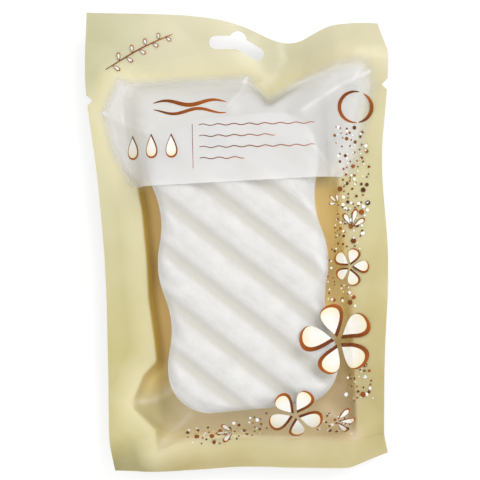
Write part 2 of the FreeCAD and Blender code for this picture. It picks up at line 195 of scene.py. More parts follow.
# The grid of the sponge's surface
SPONGE_GRID = 1.1
# How far apart points still count as one, in metres
CUT_SNAP = 1e-7
SPONGE_SNAP = 1e-6
PRINT_SNAP = 1e-8
# Punches through the film: their foot and their height
PUNCH_FOOT = -20
PUNCH_HEIGHT = 70
# Stretch of the web's length in which the tear notches are looked for, and in how many steps
NOTCH_SHARES = (0.6, 0.95)
NOTCH_STEPS = 400
# How far the painted light on the slopes of the sponge's waves lies aside, as a share of a wave
SLOPE_SHARE = 0.02
# The values between which most of a noise pattern lies
NOISE_LOW = 0.3
NOISE_HIGH = 0.7

# How high each print lies over what carries it
BLOSSOM_LIFT = 0.15
DOT_LIFT = 0.1
WAVE_LIFT = 0.08
TWIG_LIFT = 0.12
# The longest edge of a print that isn't divided, and a height above all pieces
PRINT_STEP = 1.5
ABOVE_ALL = 100
# The blossoms: place, radius and turn
BLOSSOMS = [((42, -47), 17.5, 12), ((22, -80), 12.5, 40), ((49, -14), 9, -20)]
PETALS = 5
# The sprigs: place, turn and length
SPRIGS = [((50, 4), -15, 8), ((44, 15), 50, 5), ((-6, -88), 95, 7.5), ((40, -83), -95, 9)]
# The leaves of a sprig: turn and share of the length
LEAVES = [(-42, 0.8), (0, 1), (42, 0.8)]
# Petals and leaves: the middle of the fill, as a share of the length, and the foot, as a share of the width
HEART_SHARE = 0.55
FOOT_SHARE = 0.1
# The rings of the fill, as shares of the way out to the rim's edge
FILL_SHARES = (0, 0.35, 0.7)
# The dots: tries, seed of the draw, and the smallest and largest radius
DOTS = (420, 7, 0.4, 1.3)
PEARLS = (200, 11, 0.3, 0.9)
# The share of the dots that run down the right side, while the rest run along the foot
DOWN_SHARE = 0.72
# The steps of a dot's round, the room around it, and how much of a blossom's radius it stays clear of
DOT_STEPS = 12
DOT_ROOM = 0.5
BLOSSOM_SHARE = 0.9
# The run down and the run along the foot: the line that each follows, its start and its length, how far the
# dots stray from it, and the bend of its waves
DOWN_RUN = (48, 50, 126, 7, 17)
FOOT_RUN = (-86, 48, 76, 5, 15)
# How far the waves of both runs swing
RUN_SWING = 4
# The brushed waves: start, width and phase
BRUSHED_WAVES = [((-39, 61.9), 1.9, 0), ((-39, 57.9), 1.5, 2)]
# The upright rule: place across, top and length
UPRIGHT_RULE = (-21.5, 52, 20)
# The fine rules: start of the first, distance between them and their lengths
RULE_START = (-18.5, 51.5)
RULE_PITCH = 5
RULE_LENGTHS = (52, 34, 52, 20)
# The drops: their places across, and the height of their tips
DROP_PLACES = (-49, -40, -31)
DROP_TIP = 48
# The broken ring: middle, radii across and along, and the start and sweep of its two strokes
RING_MIDDLE = (53, 59)
RING_RADII = (7.5, 7)
RING_STROKES = [(75, 200), (-80, 140)]
# The twig: foot, reach, bow and number of leaves
TWIG_FOOT = (-61, 79)
TWIG_REACH = (31, 15)
TWIG_BOW = 1.2
TWIG_LEAVES = 9

# The floor: half its width in metres, and its drop below the part in millimetres
FLOOR_HALF = 3
FLOOR_DROP = 0.4
# Strength of the daylight, and the lamps: place in metres, power and width
DAYLIGHT = 0.87
LAMPS = {"key": ((0.55, 0.5, 0.85), 4.8, 0.6), "fill": ((-0.7, -0.1, 0.9), 1, 0.8)}
# The camera, in metres: height over the seal plane, width of view there, and the spot that it looks down on
CAMERA_HEIGHT = 0.72
VIEW_WIDTH = 0.2208
CAMERA_SPOT = (-0.0012, -0.0006)
CAMERA_TURN = -1.3
CAMERA_SENSOR = 36


def film_net(rise):
    """The poles of one film, in millimetres: the waving seal plane, plus a share of the rise."""
    net = np.zeros((len(ROWS), COLUMNS, 3))
    for row, y in enumerate(ROWS):
        share = (y + HALF_LENGTH) / (2 * HALF_LENGTH)
        outer = HALF_BOTTOM * (1 - share) + HALF_TOP * share
        inner = outer - SIDE_SEAL
        lean = LEAN_SHARES[row] * (SPONGE_MIDDLE - y) * math.tan(math.radians(SPONGE_TURN))
        right = [SPONGE_WIDTH * CROWN_SHARE, SPONGE_SIDE, WALL_FOOT]
        middle = [lean + place for place in (*[-place for place in reversed(right)], 0, *right)]
        edges = [LEFT_SWAY[row] - outer, outer + RIGHT_SWAY[row]]
        for column, x in enumerate([edges[0], -inner, *middle, inner, edges[1]]):
            drawn = y - DRAW_SHARES[row][column] * HEADER_HEIGHT
            if row == 0:
                drawn += FOOT_SWAY[column]
            plane = SEAL_HEIGHT * (1 + WAVE_SHARES[row][column])
            net[row, column] = (x, drawn, plane + BULGE_SHARES[row][column] * rise)
    return net


def spline_weights(places, count):
    """How much each pole of a clamped quadratic spline counts at each place from 0 to 1."""
    spans = count - 2
    knots = np.concatenate([[0, 0], np.arange(spans + 1), [spans, spans]])
    at = np.clip(places, 0, 1) * spans
    span = np.minimum(np.floor(at), spans - 1)
    weights = [(span == knot) & (i >= 2) & (i < count) for i, knot in enumerate(knots[:-1])]
    weights = np.array(weights, float)
    for degree in (1, 2):
        raised = []
        for i in range(len(weights) - 1):
            low = knots[i + degree] - knots[i]
            high = knots[i + degree + 1] - knots[i + 1] if i + degree + 1 < len(knots) else 0
            part = (at - knots[i]) / low * weights[i] if low else 0 * at
            rest = (knots[i + degree + 1] - at) / high * weights[i + 1] if high else 0 * at
            raised.append(part + rest)
        weights = np.array(raised)
    return weights[:count].T


def on_net(across, along, net):
    """Points of the smooth film over a net."""
    rows = spline_weights(along, len(ROWS))
    columns = spline_weights(across, COLUMNS)
    return np.einsum("ni,nj,ijk->nk", rows, columns, net)


def nearest(points, line):
    """How far each point lies from a line of points, seen from above."""
    least = np.full(len(points), np.inf)
    for start, end in zip(line, line[1:]):
        start = np.array(start)
        run = np.array(end) - start
        share = np.clip((points - start) @ run / (run @ run), 0, 1)
        least = np.minimum(least, np.linalg.norm(points - start - share[:, None] * run, axis=1))
    return least


def inside(points, ring):
    """How far each point lies inside a closed line, or minus how far outside."""
    count = np.zeros(len(points), int)
    for (x0, y0), (x1, y1) in zip(ring, ring[1:] + ring[:1]):
        if y0 != y1:
            crosses = (points[:, 1] < y0) != (points[:, 1] < y1)
            at = x0 + (points[:, 1] - y0) / (y1 - y0) * (x1 - x0)
            count += crosses & (points[:, 0] < at)
    return np.where(count % 2 == 1, 1, -1) * nearest(points, ring + ring[:1])


def smooth_step(low, high, value):
    """0 below low, 1 above high, and smooth between."""
    share = np.clip((value - low) / (high - low), 0, 1)
    return share * share * (3 - 2 * share)


def creased(plan):
    """How high the film's creases lift it at each point of the plan."""
    lift = np.zeros(len(plan))
    for turn, pitch, depth in CREASES:
        c, s = math.cos(math.radians(turn)), math.sin(math.radians(turn))
        wander = CREASE_WANDER_SHARE * pitch * np.sin(plan @ (-s, c) / CREASE_RUN + turn)
        lift += depth * np.abs(np.sin(math.pi * (plan @ (c, s) + wander) / pitch))
    return lift


def film_surfaces(across, along):
    """The middles of the back film and the front film at each place of the web, in millimetres."""
    seal = on_net(across, along, film_net(0))
    bulge = on_net(across, along, film_net(1))[:, 2] - seal[:, 2]
    plan = seal[:, :2]
    depth = inside(plan, OPEN_LINE)
    parted = smooth_step(*PARTING, depth)
    seal[:, 2] += creased(plan) * (1 - parted)
    tent = np.clip(TENT_SLOPE * depth, 0, TENT_HEIGHT)
    rise = np.maximum(FRONT_RISE * bulge * parted, tent)
    for line, height, spread in FOLDS:
        ridge = np.clip(1 - nearest(plan, line) / spread, 0, 1)
        rise += height * ridge * smooth_step(*FOLD_START, depth)
    back = seal.copy()
    back[:, 2] -= FILM_SEAT + FILM_THICKNESS / 2 + BACK_DROP * bulge * parted
    front = seal.copy()
    front[:, 2] += FILM_SEAT + FILM_THICKNESS / 2 + rise
    return back, front


def mesh_piece(name, bm):
    """A new object from a bmesh, smooth shaded."""
    mesh = bpy.data.meshes.new(name)
    bm.to_mesh(mesh)
    bm.free()
    mesh.shade_smooth()
    piece = bpy.data.objects.new(name, mesh)
    scene.collection.objects.link(piece)
    return piece


def cut_line(bm, y, keep_above):
    """Trim a film along a line across the pouch, turned as the film is."""
    turn = math.radians(FILM_TURN)
    bmesh.ops.bisect_plane(
        bm, geom=bm.verts[:] + bm.edges[:] + bm.faces[:], dist=CUT_SNAP,
        plane_co=(0, y * MM, 0), plane_no=(-math.sin(turn), math.cos(turn), 0),
        clear_inner=keep_above, clear_outer=not keep_above,
    )


def tear(bm, header):
    """Trim a web to its side of the tear line."""
    cut_line(bm, TEAR_LINE + TEAR_GAP if header else TEAR_LINE, header)


def web(front):
    """A whole web of film from edge to edge, as a grid laid on its surface."""
    bm = bmesh.new()
    bmesh.ops.create_grid(bm, x_segments=WEB_STEPS[0], y_segments=WEB_STEPS[1], size=1)
    places = np.array([vert.co[:] for vert in bm.verts])
    surfaces = film_surfaces((places[:, 0] + 1) / 2, (places[:, 1] + 1) / 2)
    for vert, point in zip(bm.verts, surfaces[1 if front else 0]):
        vert.co = point * MM
    return bm


def apply_modifiers(piece):
    """Put a piece's modifiers into its mesh."""
    bpy.context.view_layer.update()
    evaluated = piece.evaluated_get(bpy.context.evaluated_depsgraph_get())
    mesh = bpy.data.meshes.new_from_object(evaluated)
    old = piece.data
    piece.modifiers.clear()
    piece.data = mesh
    bpy.data.meshes.remove(old)
    mesh.name = piece.name


def punch_through(piece, cutters):
    """Punch upright cutters through a piece."""
    for cutter in cutters:
        punch = piece.modifiers.new("punch", "BOOLEAN")
        punch.operation = "DIFFERENCE"
        punch.solver = "EXACT"
        punch.object = cutter
    apply_modifiers(piece)


def upright(name, outline):
    """A tall punch with an outline, in millimetres."""
    bm = bmesh.new()
    face = bm.faces.new([bm.verts.new((x * MM, y * MM, PUNCH_FOOT * MM)) for x, y in outline])
    raised = bmesh.ops.extrude_face_region(bm, geom=[face])["geom"]
    top = [part for part in raised if isinstance(part, bmesh.types.BMVert)]
    bmesh.ops.translate(bm, vec=(0, 0, PUNCH_HEIGHT * MM), verts=top)
    bmesh.ops.recalc_face_normals(bm, faces=bm.faces[:])
    return mesh_piece(name, bm)


def slot_outline(turn):
    """Half of the hang hole: a slot with a round end, running out from the middle at a turn."""
    radius = HOLE_SLOT / 2
    half = ROUND_STEPS // 2
    angles = [math.radians(90 - 180 * step / half) for step in range(half + 1)]
    ends = [(HOLE_ARM + radius * math.cos(a), radius * math.sin(a)) for a in angles]
    back = [(-radius * math.cos(a), -radius * math.sin(a)) for a in angles]
    c, s = math.cos(math.radians(turn)), math.sin(math.radians(turn))
    return [(x * c - y * s, HOLE_LINE + x * s + y * c) for x, y in reversed(ends + back)]


def hole_punches():
    """The three punches of the hang hole."""
    radius = HOLE_BUMP / 2
    middle = HOLE_LINE + HOLE_BUMP_RISE
    angles = [math.radians(360 * step / ROUND_STEPS) for step in range(ROUND_STEPS)]
    bump = [(radius * math.cos(a), middle + radius * math.sin(a)) for a in angles]
    return [
        upright("hole_left", slot_outline(180)),
        upright("hole_right", slot_outline(-HOLE_BEND)),
        upright("hole_bump", bump),
    ]


def notch_punches():
    """The punches of the two tear notches, where the side edges meet the tear line."""
    slope = math.tan(math.radians(FILM_TURN))
    along = np.linspace(*NOTCH_SHARES, NOTCH_STEPS)
    d = NOTCH_DEPTH
    punches = []
    for side, across in (("left", 0), ("right", 1)):
        edge = on_net(np.full(len(along), across), along, film_net(0))
        x, y, _ = edge[np.argmin(np.abs(edge[:, 1] - edge[:, 0] * slope - TEAR_LINE))]
        punches.append(upright(f"notch_{side}", [(x - d, y), (x, y - d), (x + d, y), (x, y + d)]))
    return punches


def film_piece(name, front, header, punches):
    """One piece of film: a web trimmed at the tear line, given its thickness and punched."""
    bm = web(front)
    tear(bm, header)
    bmesh.ops.recalc_face_normals(bm, faces=bm.faces[:])
    piece = mesh_piece(name, bm)
    wall = piece.modifiers.new("film", "SOLIDIFY")
    wall.thickness = FILM_THICKNESS * MM
    wall.offset = 0
    apply_modifiers(piece)
    punch_through(piece, punches)
    piece.data.set_sharp_from_angle(angle=math.radians(SHARP_TURN))
    return piece


def plan_of(piece):
    """Where the points of a piece lie seen from above, in millimetres."""
    points = np.zeros(len(piece.data.vertices) * 3)
    piece.data.vertices.foreach_get("co", points)
    return points.reshape(-1, 3)[:, :2] / MM


def mark_points(piece, marks):
    """Give each point of a piece its marks, which the materials read."""
    for name, values in marks.items():
        layer = piece.data.attributes.new(name, "FLOAT", "POINT")
        layer.data.foreach_set("value", values.astype(np.float32))


def mark_film(piece):
    """Mark how far each point of a film lies inside the open line and from the nearest fold."""
    plan = plan_of(piece)
    from_folds = [nearest(plan, line) for line, _, _ in FOLDS]
    mark_points(piece, {"depth": inside(plan, OPEN_LINE), "fold": np.min(from_folds, axis=0)})


def effect(name, inputs, outputs):
    """A new node group for an effect that several materials share, with its entry and exit."""
    group = bpy.data.node_groups.new(name, "ShaderNodeTree")
    for socket in inputs:
        group.interface.new_socket(socket, in_out="INPUT", socket_type="NodeSocketFloat")
    for socket, kind in outputs.items():
        group.interface.new_socket(socket, in_out="OUTPUT", socket_type=kind)
    return group, group.nodes.new("NodeGroupInput").outputs, group.nodes.new("NodeGroupOutput").inputs


def cloud_effect():
    """A cloudy pattern over a piece, spread between two values."""
    group, entry, leave = effect("cloud", ("Scale", "Detail", "Low", "High"), {"Value": "NodeSocketFloat"})
    place = group.nodes.new("ShaderNodeTexCoord")
    noise = group.nodes.new("ShaderNodeTexNoise")
    spread = group.nodes.new("ShaderNodeMapRange")
    spread.inputs["From Min"].default_value = NOISE_LOW
    spread.inputs["From Max"].default_value = NOISE_HIGH
    join = group.links.new
    join(place.outputs["Object"], noise.inputs["Vector"])
    join(entry["Scale"], noise.inputs["Scale"])
    join(entry["Detail"], noise.inputs["Detail"])
    join(noise.outputs["Fac"], spread.inputs["Value"])
    join(entry["Low"], spread.inputs["To Min"])
    join(entry["High"], spread.inputs["To Max"])
    join(spread.outputs["Result"], leave["Value"])
    return group


def grain_effect():
    """A fine roughness of a surface, as a normal."""
    group, entry, leave = effect("grain", ("Scale", "Strength", "Distance"), {"Normal": "NodeSocketVector"})
    place = group.nodes.new("ShaderNodeTexCoord")
    noise = group.nodes.new("ShaderNodeTexNoise")
    noise.inputs["Detail"].default_value = 4
    bump = group.nodes.new("ShaderNodeBump")
    join = group.links.new
    join(place.outputs["Object"], noise.inputs["Vector"])
    join(entry["Scale"], noise.inputs["Scale"])
    join(noise.outputs["Fac"], bump.inputs["Height"])
    join(entry["Strength"], bump.inputs["Strength"])
    join(entry["Distance"], bump.inputs["Distance"])
    join(bump.outputs["Normal"], leave["Normal"])
    return group


CLOUD = cloud_effect()
GRAIN = grain_effect()


class Surface:
    """A material in the making: a Principled shader, and nodes that feed it."""

    def __init__(self, name):
        self.material = bpy.data.materials.new(name)
        self.material.use_nodes = True
        self.nodes = self.material.node_tree.nodes
        self.shader = self.nodes["Principled BSDF"]

    def put(self, socket, value):
        """Give a socket another node's output, a colour or a number."""
        if isinstance(value, bpy.types.NodeSocket):
            self.material.node_tree.links.new(value, socket)
        elif isinstance(value, tuple):
            socket.default_value = (*value, 1)
        else:
            socket.default_value = value

    def shade(self, **values):
        """Set the shader's inputs, named with _ for each space."""
        for name, value in values.items():
            self.put(self.shader.inputs[name.replace("_", " ")], value)

    def shared(self, group, **values):
        """A shared effect with its own values."""
        node = self.nodes.new("ShaderNodeGroup")
        node.node_tree = group
        for name, value in values.items():
            self.put(node.inputs[name], value)
        return node.outputs[0]

    def mark(self, name):
        """A mark that the piece carries on its points."""
        node = self.nodes.new("ShaderNodeAttribute")
        node.attribute_name = name
        return node.outputs["Fac"]

    def place(self):
        """Where a point lies on its piece."""
        node = self.nodes.new("ShaderNodeSeparateXYZ")
        self.put(node.inputs[0], self.nodes.new("ShaderNodeTexCoord").outputs["Object"])
        return node.outputs

    def ranged(self, value, low, high, start=0.0, end=1.0):
        """A value brought from one range into another."""
        node = self.nodes.new("ShaderNodeMapRange")
        sockets = ("Value", "From Min", "From Max", "To Min", "To Max")
        for name, part in zip(sockets, (value, low, high, start, end)):
            self.put(node.inputs[name], part)
        return node.outputs["Result"]

    def mixed(self, factor, first, second):
        """A colour between two, by a factor."""
        node = self.nodes.new("ShaderNodeMix")
        node.data_type = "RGBA"
        for index, part in ((0, factor), (6, first), (7, second)):
            self.put(node.inputs[index], part)
        return node.outputs[2]


def gold_film():
    """Satin pale gold film, deeper where the pouch stands open above it, with painted light and shade laid
    over it.
    """
    film = Surface("gold_film")
    place = film.place()
    depth = film.mark("depth")
    # The margins: paler to the left and deeper gold to the right, a painted sheen, and darker towards the
    # bottom
    right = film.ranged(place["X"], -0.05, 0.06)
    low = film.ranged(place["Y"], 0.03, -0.05)
    west = film.mixed(low, (0.61, 0.57, 0.34), (0.53, 0.47, 0.19))
    east = film.mixed(low, (0.59, 0.54, 0.275), (0.5, 0.41, 0.15))
    margin = film.mixed(right, west, east)
    # The foot, and a painted shade at its lower left where the film curls
    foot = film.mixed(film.ranged(place["X"], -0.02, 0.012), (0.44, 0.345, 0.12), (0.51, 0.425, 0.18))
    painted_shade_corner = film.mixed(film.ranged(place["X"], -0.045, -0.03), (0.28, 0.235, 0.065), foot)
    side = film.mixed(film.ranged(place["Y"], -0.088, -0.102), margin, painted_shade_corner)
    # The header: darker at the far left, and a painted shade on the low wave next to the hang hole, where
    # its slope faces the lamp
    left_top = film.mixed(film.ranged(place["X"], -0.066, -0.04), (0.51, 0.49, 0.28), (0.65, 0.61, 0.41))
    painted_shade_dip = film.mixed(film.ranged(place["X"], -0.002, 0.014), left_top, (0.52, 0.49, 0.3))
    top = film.mixed(film.ranged(place["X"], 0.022, 0.036), painted_shade_dip, (0.62, 0.57, 0.37))
    lying = film.mixed(film.ranged(place["Y"], 0.04, 0.075), side, top)
    # The margin close to the open part, with painted light and shade along it, lightest on the left next to
    # the open strip, and clouds over all that lies together
    beside = film.mixed(right, (0.82, 0.74, 0.44), (0.57, 0.48, 0.22))
    shaded = film.mixed(film.ranged(depth, -11, -2, 0, 0.65), lying, beside)
    cloud = film.shared(CLOUD, Scale=60, Detail=3, Low=0, High=0.22)
    clouded = film.mixed(cloud, shaded, (0.76, 0.72, 0.53))
    # The open part next to the sponge and below it: deeper gold than the margins, darkest at the open line
    # as a painted shade of the narrow gap along the sponge, brighter further in as painted light against the
    # sponge's shadow, and a painted shade on the facet of the lower-left ear
    west_hollow = film.mixed(film.ranged(depth, 0.5, 5), (0.46, 0.28, 0.02), (0.92, 0.66, 0.2))
    east_hollow = film.mixed(film.ranged(depth, 0.5, 5), (0.68, 0.5, 0.18), (1, 0.78, 0.34))
    hollow = film.mixed(right, west_hollow, east_hollow)
    ear = film.mixed(film.ranged(place["X"], -0.045, -0.02), (0.5, 0.42, 0.19), (0.76, 0.63, 0.38))
    cave = film.mixed(film.ranged(place["X"], 0.015, 0.04), ear, (0.6, 0.46, 0.25))
    open_part = film.mixed(film.ranged(place["Y"], -0.05, -0.075), hollow, cave)
    # The open part under the white band, with painted light near the open line and on the left against the
    # band's shadow and painted shade to the right, and the folds
    nook = film.mixed(film.ranged(place["X"], -0.05, 0.02), (0.82, 0.76, 0.57), (0.26, 0.235, 0.16))
    shelter = film.mixed(film.ranged(depth, 0, 8), (0.86, 0.82, 0.62), nook)
    deep = film.mixed(film.ranged(place["Y"], 0.022, 0.034), open_part, shelter)
    # A painted highlight on the back film along the front film's folds
    fold_highlighted = film.mixed(film.ranged(film.mark("fold"), 4, 0.5, 0, 0.25), deep, (0.8, 0.7, 0.46))
    # Where the open part begins
    edge = film.ranged(place["X"], 0.02, 0.045, -0.5, -2.5)
    grain = film.shared(CLOUD, Scale=1200, Detail=2, Low=0.5, High=0.64)
    film.shade(
        Base_Color=film.mixed(film.ranged(depth, edge, 0.8), clouded, fold_highlighted),
        Roughness=grain,
        Specular_IOR_Level=0.12,
        Normal=film.shared(GRAIN, Scale=900, Strength=0.08, Distance=0.0002),
    )
    return film.material


def clear_film():
    """Thin glossy film, nearly clear: it mirrors more along its folds, a painted glint, and edge on where it
    stands open.
    """
    film = Surface("clear_film")
    clear = 0.022
    facing = film.nodes.new("ShaderNodeLayerWeight").outputs["Facing"]
    edge_on = film.ranged(film.mark("depth"), 6, 10, clear, 0.5)
    gleam = film.ranged(facing, 0.62, 1, clear, edge_on)
    film.shade(
        Base_Color=(1, 1, 1),
        Metallic=1,
        # Painted glint: more opaque and mirroring along the folds
        Alpha=film.ranged(film.mark("fold"), 1.6, 0.5, gleam, 0.07),
        Roughness=film.shared(CLOUD, Scale=90, Detail=3, Low=0.3, High=0.4),
        Normal=film.shared(GRAIN, Scale=90, Strength=0.08, Distance=0.001),
    )
    return film.material


def white_print():
    """Thin white print on the clear film, which fades where the films lie together."""
    band = Surface("white_print")
    cloud = band.shared(CLOUD, Scale=45, Detail=3, Low=0, High=1)
    reach = band.ranged(band.place()["X"], 0.03, 0.05, -3, -BAND_REACH)
    cover = band.ranged(band.mark("depth"), reach, 2.5, 0, 0.6)
    band.shade(
        Base_Color=band.mixed(cloud, (0.875, 0.865, 0.85), (0.92, 0.915, 0.905)),
        Roughness=0.45,
        # Whiter and more opaque along the folds: a painted glint
        Alpha=band.ranged(band.mark("fold"), 1.3, 0.4, cover, 0.65),
        Normal=band.shared(GRAIN, Scale=700, Strength=0.05, Distance=0.0002),
    )
    return band.material


def sponge_fibre():
    """Matte white plant fibre with fine pores, with painted shade in its channels and painted light on its
    slopes and sides.
    """
    fibre = Surface("sponge_fibre")
    cloud = fibre.shared(CLOUD, Scale=140, Detail=5, Low=0, High=1)
    pores = fibre.shared(CLOUD, Scale=1500, Detail=2, Low=0, High=0.3)
    pale = fibre.mixed(cloud, (0.68, 0.67, 0.65), (0.77, 0.765, 0.75))
    # Painted light on the slopes that face away from the lamp
    painted_slope_light = fibre.ranged(fibre.mark("slope"), 0.3, 1, 0, 0.5)
    slope = fibre.mixed(painted_slope_light, pale, (0.9, 0.9, 0.89))
    # Painted shade in the channels between the waves
    painted_channel_shade = fibre.ranged(fibre.mark("channel"), 0.15, 0.85, 0, 0.9)
    waved = fibre.mixed(painted_channel_shade, slope, (0.59, 0.57, 0.51))
    # Painted light on the sponge's sides below the waves
    side = fibre.mixed(fibre.ranged(fibre.place()["Z"], 0.0232, 0.015), waved, (0.97, 0.96, 0.94))
    fibre.shade(
        Base_Color=fibre.mixed(pores, side, (0.64, 0.63, 0.6)),
        Roughness=0.9,
        Specular_IOR_Level=0.2,
        Normal=fibre.shared(GRAIN, Scale=450, Strength=0.45, Distance=0.0008),
    )
    return fibre.material


def ink(name, first, second):
    """A print ink whose colour runs along each stroke or petal."""
    print_ink = Surface(name)
    uneven = print_ink.shared(CLOUD, Scale=400, Detail=3, Low=0, High=0.2)
    colour = print_ink.mixed(print_ink.mark("tint"), first, second)
    print_ink.shade(
        Base_Color=print_ink.mixed(uneven, colour, second),
        Roughness=0.4,
        Specular_IOR_Level=0.2,
        Normal=print_ink.shared(GRAIN, Scale=700, Strength=0.05, Distance=0.0002),
    )
    return print_ink.material


def make_sponge():
    """The sponge, as a soft porous block with the waves of its solid."""
    bm = bmesh.new()
    bm.from_mesh(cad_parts["sponge"].data)
    bmesh.ops.remove_doubles(bm, verts=bm.verts[:], dist=SPONGE_SNAP)
    piece = mesh_piece("wave_sponge", bm)
    remesh = piece.modifiers.new("pores", "REMESH")
    remesh.mode = "VOXEL"
    remesh.voxel_size = SPONGE_GRID * MM
    relax = piece.modifiers.new("relax", "SMOOTH")
    relax.factor = 0.5
    relax.iterations = 10
    apply_modifiers(piece)
    piece.data.shade_smooth()
    turn = math.radians(RIDGE_TURN + SPONGE_TURN)
    across = plan_of(piece) - (0, SPONGE_MIDDLE)
    phase = across @ (math.cos(turn), math.sin(turn)) / RIDGE_PITCH
    # The phase of the waves places the painted shade in the channels and the painted light on the slopes
    channel = np.cos(2 * math.pi * phase)
    slope = np.sin(2 * math.pi * (phase + SLOPE_SHARE))
    mark_points(piece, {"channel": channel, "slope": slope})
    piece.data.materials.clear()
    piece.data.materials.append(sponge_fibre())
    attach(piece, "sponge")
    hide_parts("sponge")


def make_films():
    """The four pieces of film, punched and marked."""
    hole = hole_punches()
    notches = notch_punches()
    welds = ("bottom_seal", "left_side_seal", "right_side_seal")
    gold = gold_film()
    clear = clear_film()
    films = {}
    for name, front, header, body, nodes in (
        ("gold_back", False, False, "pouch", ("back_film", *welds)),
        ("clear_front", True, False, "pouch", ("front_film",)),
        ("gold_header", False, True, "header", ("header_back_film", "header_seal")),
        ("clear_header", True, True, "header", ("header_front_film",)),
    ):
        piece = film_piece(name, front, header, hole + notches if header else notches)
        mark_film(piece)
        piece.data.materials.append(clear if front else gold)
        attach(piece, body)
        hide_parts(*nodes)
        films[name] = piece
    for punch in hole + notches:
        bpy.data.objects.remove(punch)
    return films


def make_band(name, header, material):
    """The white print across the upper front, just above the film."""
    bm = web(True)
    tear(bm, header)
    if not header:
        cut_line(bm, BAND_LINE, True)
    bmesh.ops.translate(bm, vec=(0, 0, BAND_LIFT * MM), verts=bm.verts[:])
    middles = np.array([face.calc_center_median()[:2] for face in bm.faces]) / MM
    far = [face for face, depth in zip(bm.faces, inside(middles, OPEN_LINE)) if depth < -BAND_REACH]
    bmesh.ops.delete(bm, geom=far, context="FACES")
    bmesh.ops.recalc_face_normals(bm, faces=bm.faces[:])
    piece = mesh_piece(name, bm)
    mark_film(piece)
    piece.data.materials.append(material)
    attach(piece, "header" if header else "pouch")
    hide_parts("header_band" if header else "printed_band")
    return piece


def film_below(film):
    """A function that lays a point of the plan, in millimetres, on top of a film."""
    mesh = film.data
    tree = BVHTree.FromPolygons([v.co[:] for v in mesh.vertices], [p.vertices[:] for p in mesh.polygons])

    def lay(x, y, lift):
        hit = tree.ray_cast(Vector((x * MM, y * MM, ABOVE_ALL * MM)), Vector((0, 0, -1)))[0]
        return None if hit is None else Vector((x * MM, y * MM, hit.z + lift * MM))

    return lay


def teardrop(bm, place, turn, length, width, rim, lean=0.0):
    """A petal or leaf: a round tip that narrows to its foot, with a brushed rim around a filled middle."""
    tint = bm.verts.layers.float["tint"]
    shares = (*FILL_SHARES, 1 - rim, 1)
    rings = len(shares) - 1
    turned = Matrix.Rotation(math.radians(turn), 2)
    grid = bmesh.ops.create_grid(bm, x_segments=ROUND_STEPS, y_segments=rings, size=1)["verts"]
    for face in {face for vert in grid for face in vert.link_faces}:
        face.material_index = 0 if face.calc_center_median().y > 1 - 2 / rings else 1
    for vert in grid:
        angle = math.pi * vert.co.x
        share = shares[round((vert.co.y + 1) / 2 * rings)]
        along = (1 + math.cos(angle)) / 2
        rise = HEART_SHARE + (along - HEART_SHARE) * share
        spread = math.sin(angle) * (FOOT_SHARE + (1 - FOOT_SHARE) * along ** 0.8)
        side = spread * share + lean * rim * math.sin(math.pi * share)
        spot = Vector(place) + turned @ Vector((side * width / 2, rise * length))
        vert[tint] = along ** 1.5 * share ** 2
        vert.co = (*spot, 0)


def stroke(bm, path, widths, steps=40):
    """A brushed line along a path, with its widths at the ends and in the middle."""
    grid = bmesh.ops.create_grid(bm, x_segments=steps, y_segments=1, size=1)["verts"]
    tint = bm.verts.layers.float["tint"]
    for vert in grid:
        share = (vert.co.x + 1) / 2
        here = np.array(path(share))
        ahead = np.array(path(share + 0.01)) - np.array(path(share - 0.01))
        side = np.array((-ahead[1], ahead[0])) / np.linalg.norm(ahead)
        width = widths[0] + (widths[1] - widths[0]) * math.sin(math.pi * min(max(share, 0), 1)) ** 0.7
        vert[tint] = share
        vert.co = (*(here + side * vert.co.y * width / 2), 0)
    for face in {face for vert in grid for face in vert.link_faces}:
        face.material_index = 0


def blossom(bm, place, radius, turn):
    """A round blossom of petals that start close to the middle and differ a little in length."""
    for petal in range(PETALS):
        angle = turn + 360 * petal / PETALS
        outwards = Matrix.Rotation(math.radians(angle), 2) @ Vector((0, 0.1 * radius))
        length = radius * (0.86 + 0.07 * math.sin(2.3 * petal))
        lean = 1.3 if petal % 2 else -1.3
        teardrop(bm, Vector(place) + outwards, angle, length, width=length * 1.02, rim=0.18, lean=lean)


def sprig(bm, place, turn, length):
    """Three slender leaves on one foot, the middle one longest."""
    width = length * 0.42
    for leaf_turn, share in LEAVES:
        angle = turn + leaf_turn
        outwards = Matrix.Rotation(math.radians(angle), 2) @ Vector((0, 0.12 * length))
        teardrop(bm, Vector(place) + outwards, angle, length * share, width, rim=0.25, lean=0.5)


def printed(name, draw, film, lift, materials, body):
    """A print drawn flat in millimetres, then laid on the film."""
    bm = bmesh.new()
    bm.verts.layers.float.new("tint")
    draw(bm)
    long_edges = [edge for edge in bm.edges if edge.calc_length() > PRINT_STEP]
    bmesh.ops.subdivide_edges(bm, edges=long_edges, cuts=2, use_grid_fill=True)
    lay = film_below(film)
    lost = []
    for vert in bm.verts:
        spot = lay(vert.co.x, vert.co.y, lift)
        if spot is None:
            lost.append(vert)
        else:
            vert.co = spot
    bmesh.ops.delete(bm, geom=lost, context="VERTS")
    bmesh.ops.remove_doubles(bm, verts=bm.verts[:], dist=PRINT_SNAP)
    bm.normal_update()
    for face in bm.faces:
        if face.normal.z < 0:
            face.normal_flip()
    piece = mesh_piece(name, bm)
    for material in materials:
        piece.data.materials.append(material)
    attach(piece, body)
    return piece


def draw_blossoms(bm):
    """The blossoms and sprigs that run down the right side and along the foot."""
    for place, radius, turn in BLOSSOMS:
        blossom(bm, place, radius, turn)
    for place, turn, length in SPRIGS:
        sprig(bm, place, turn, length)


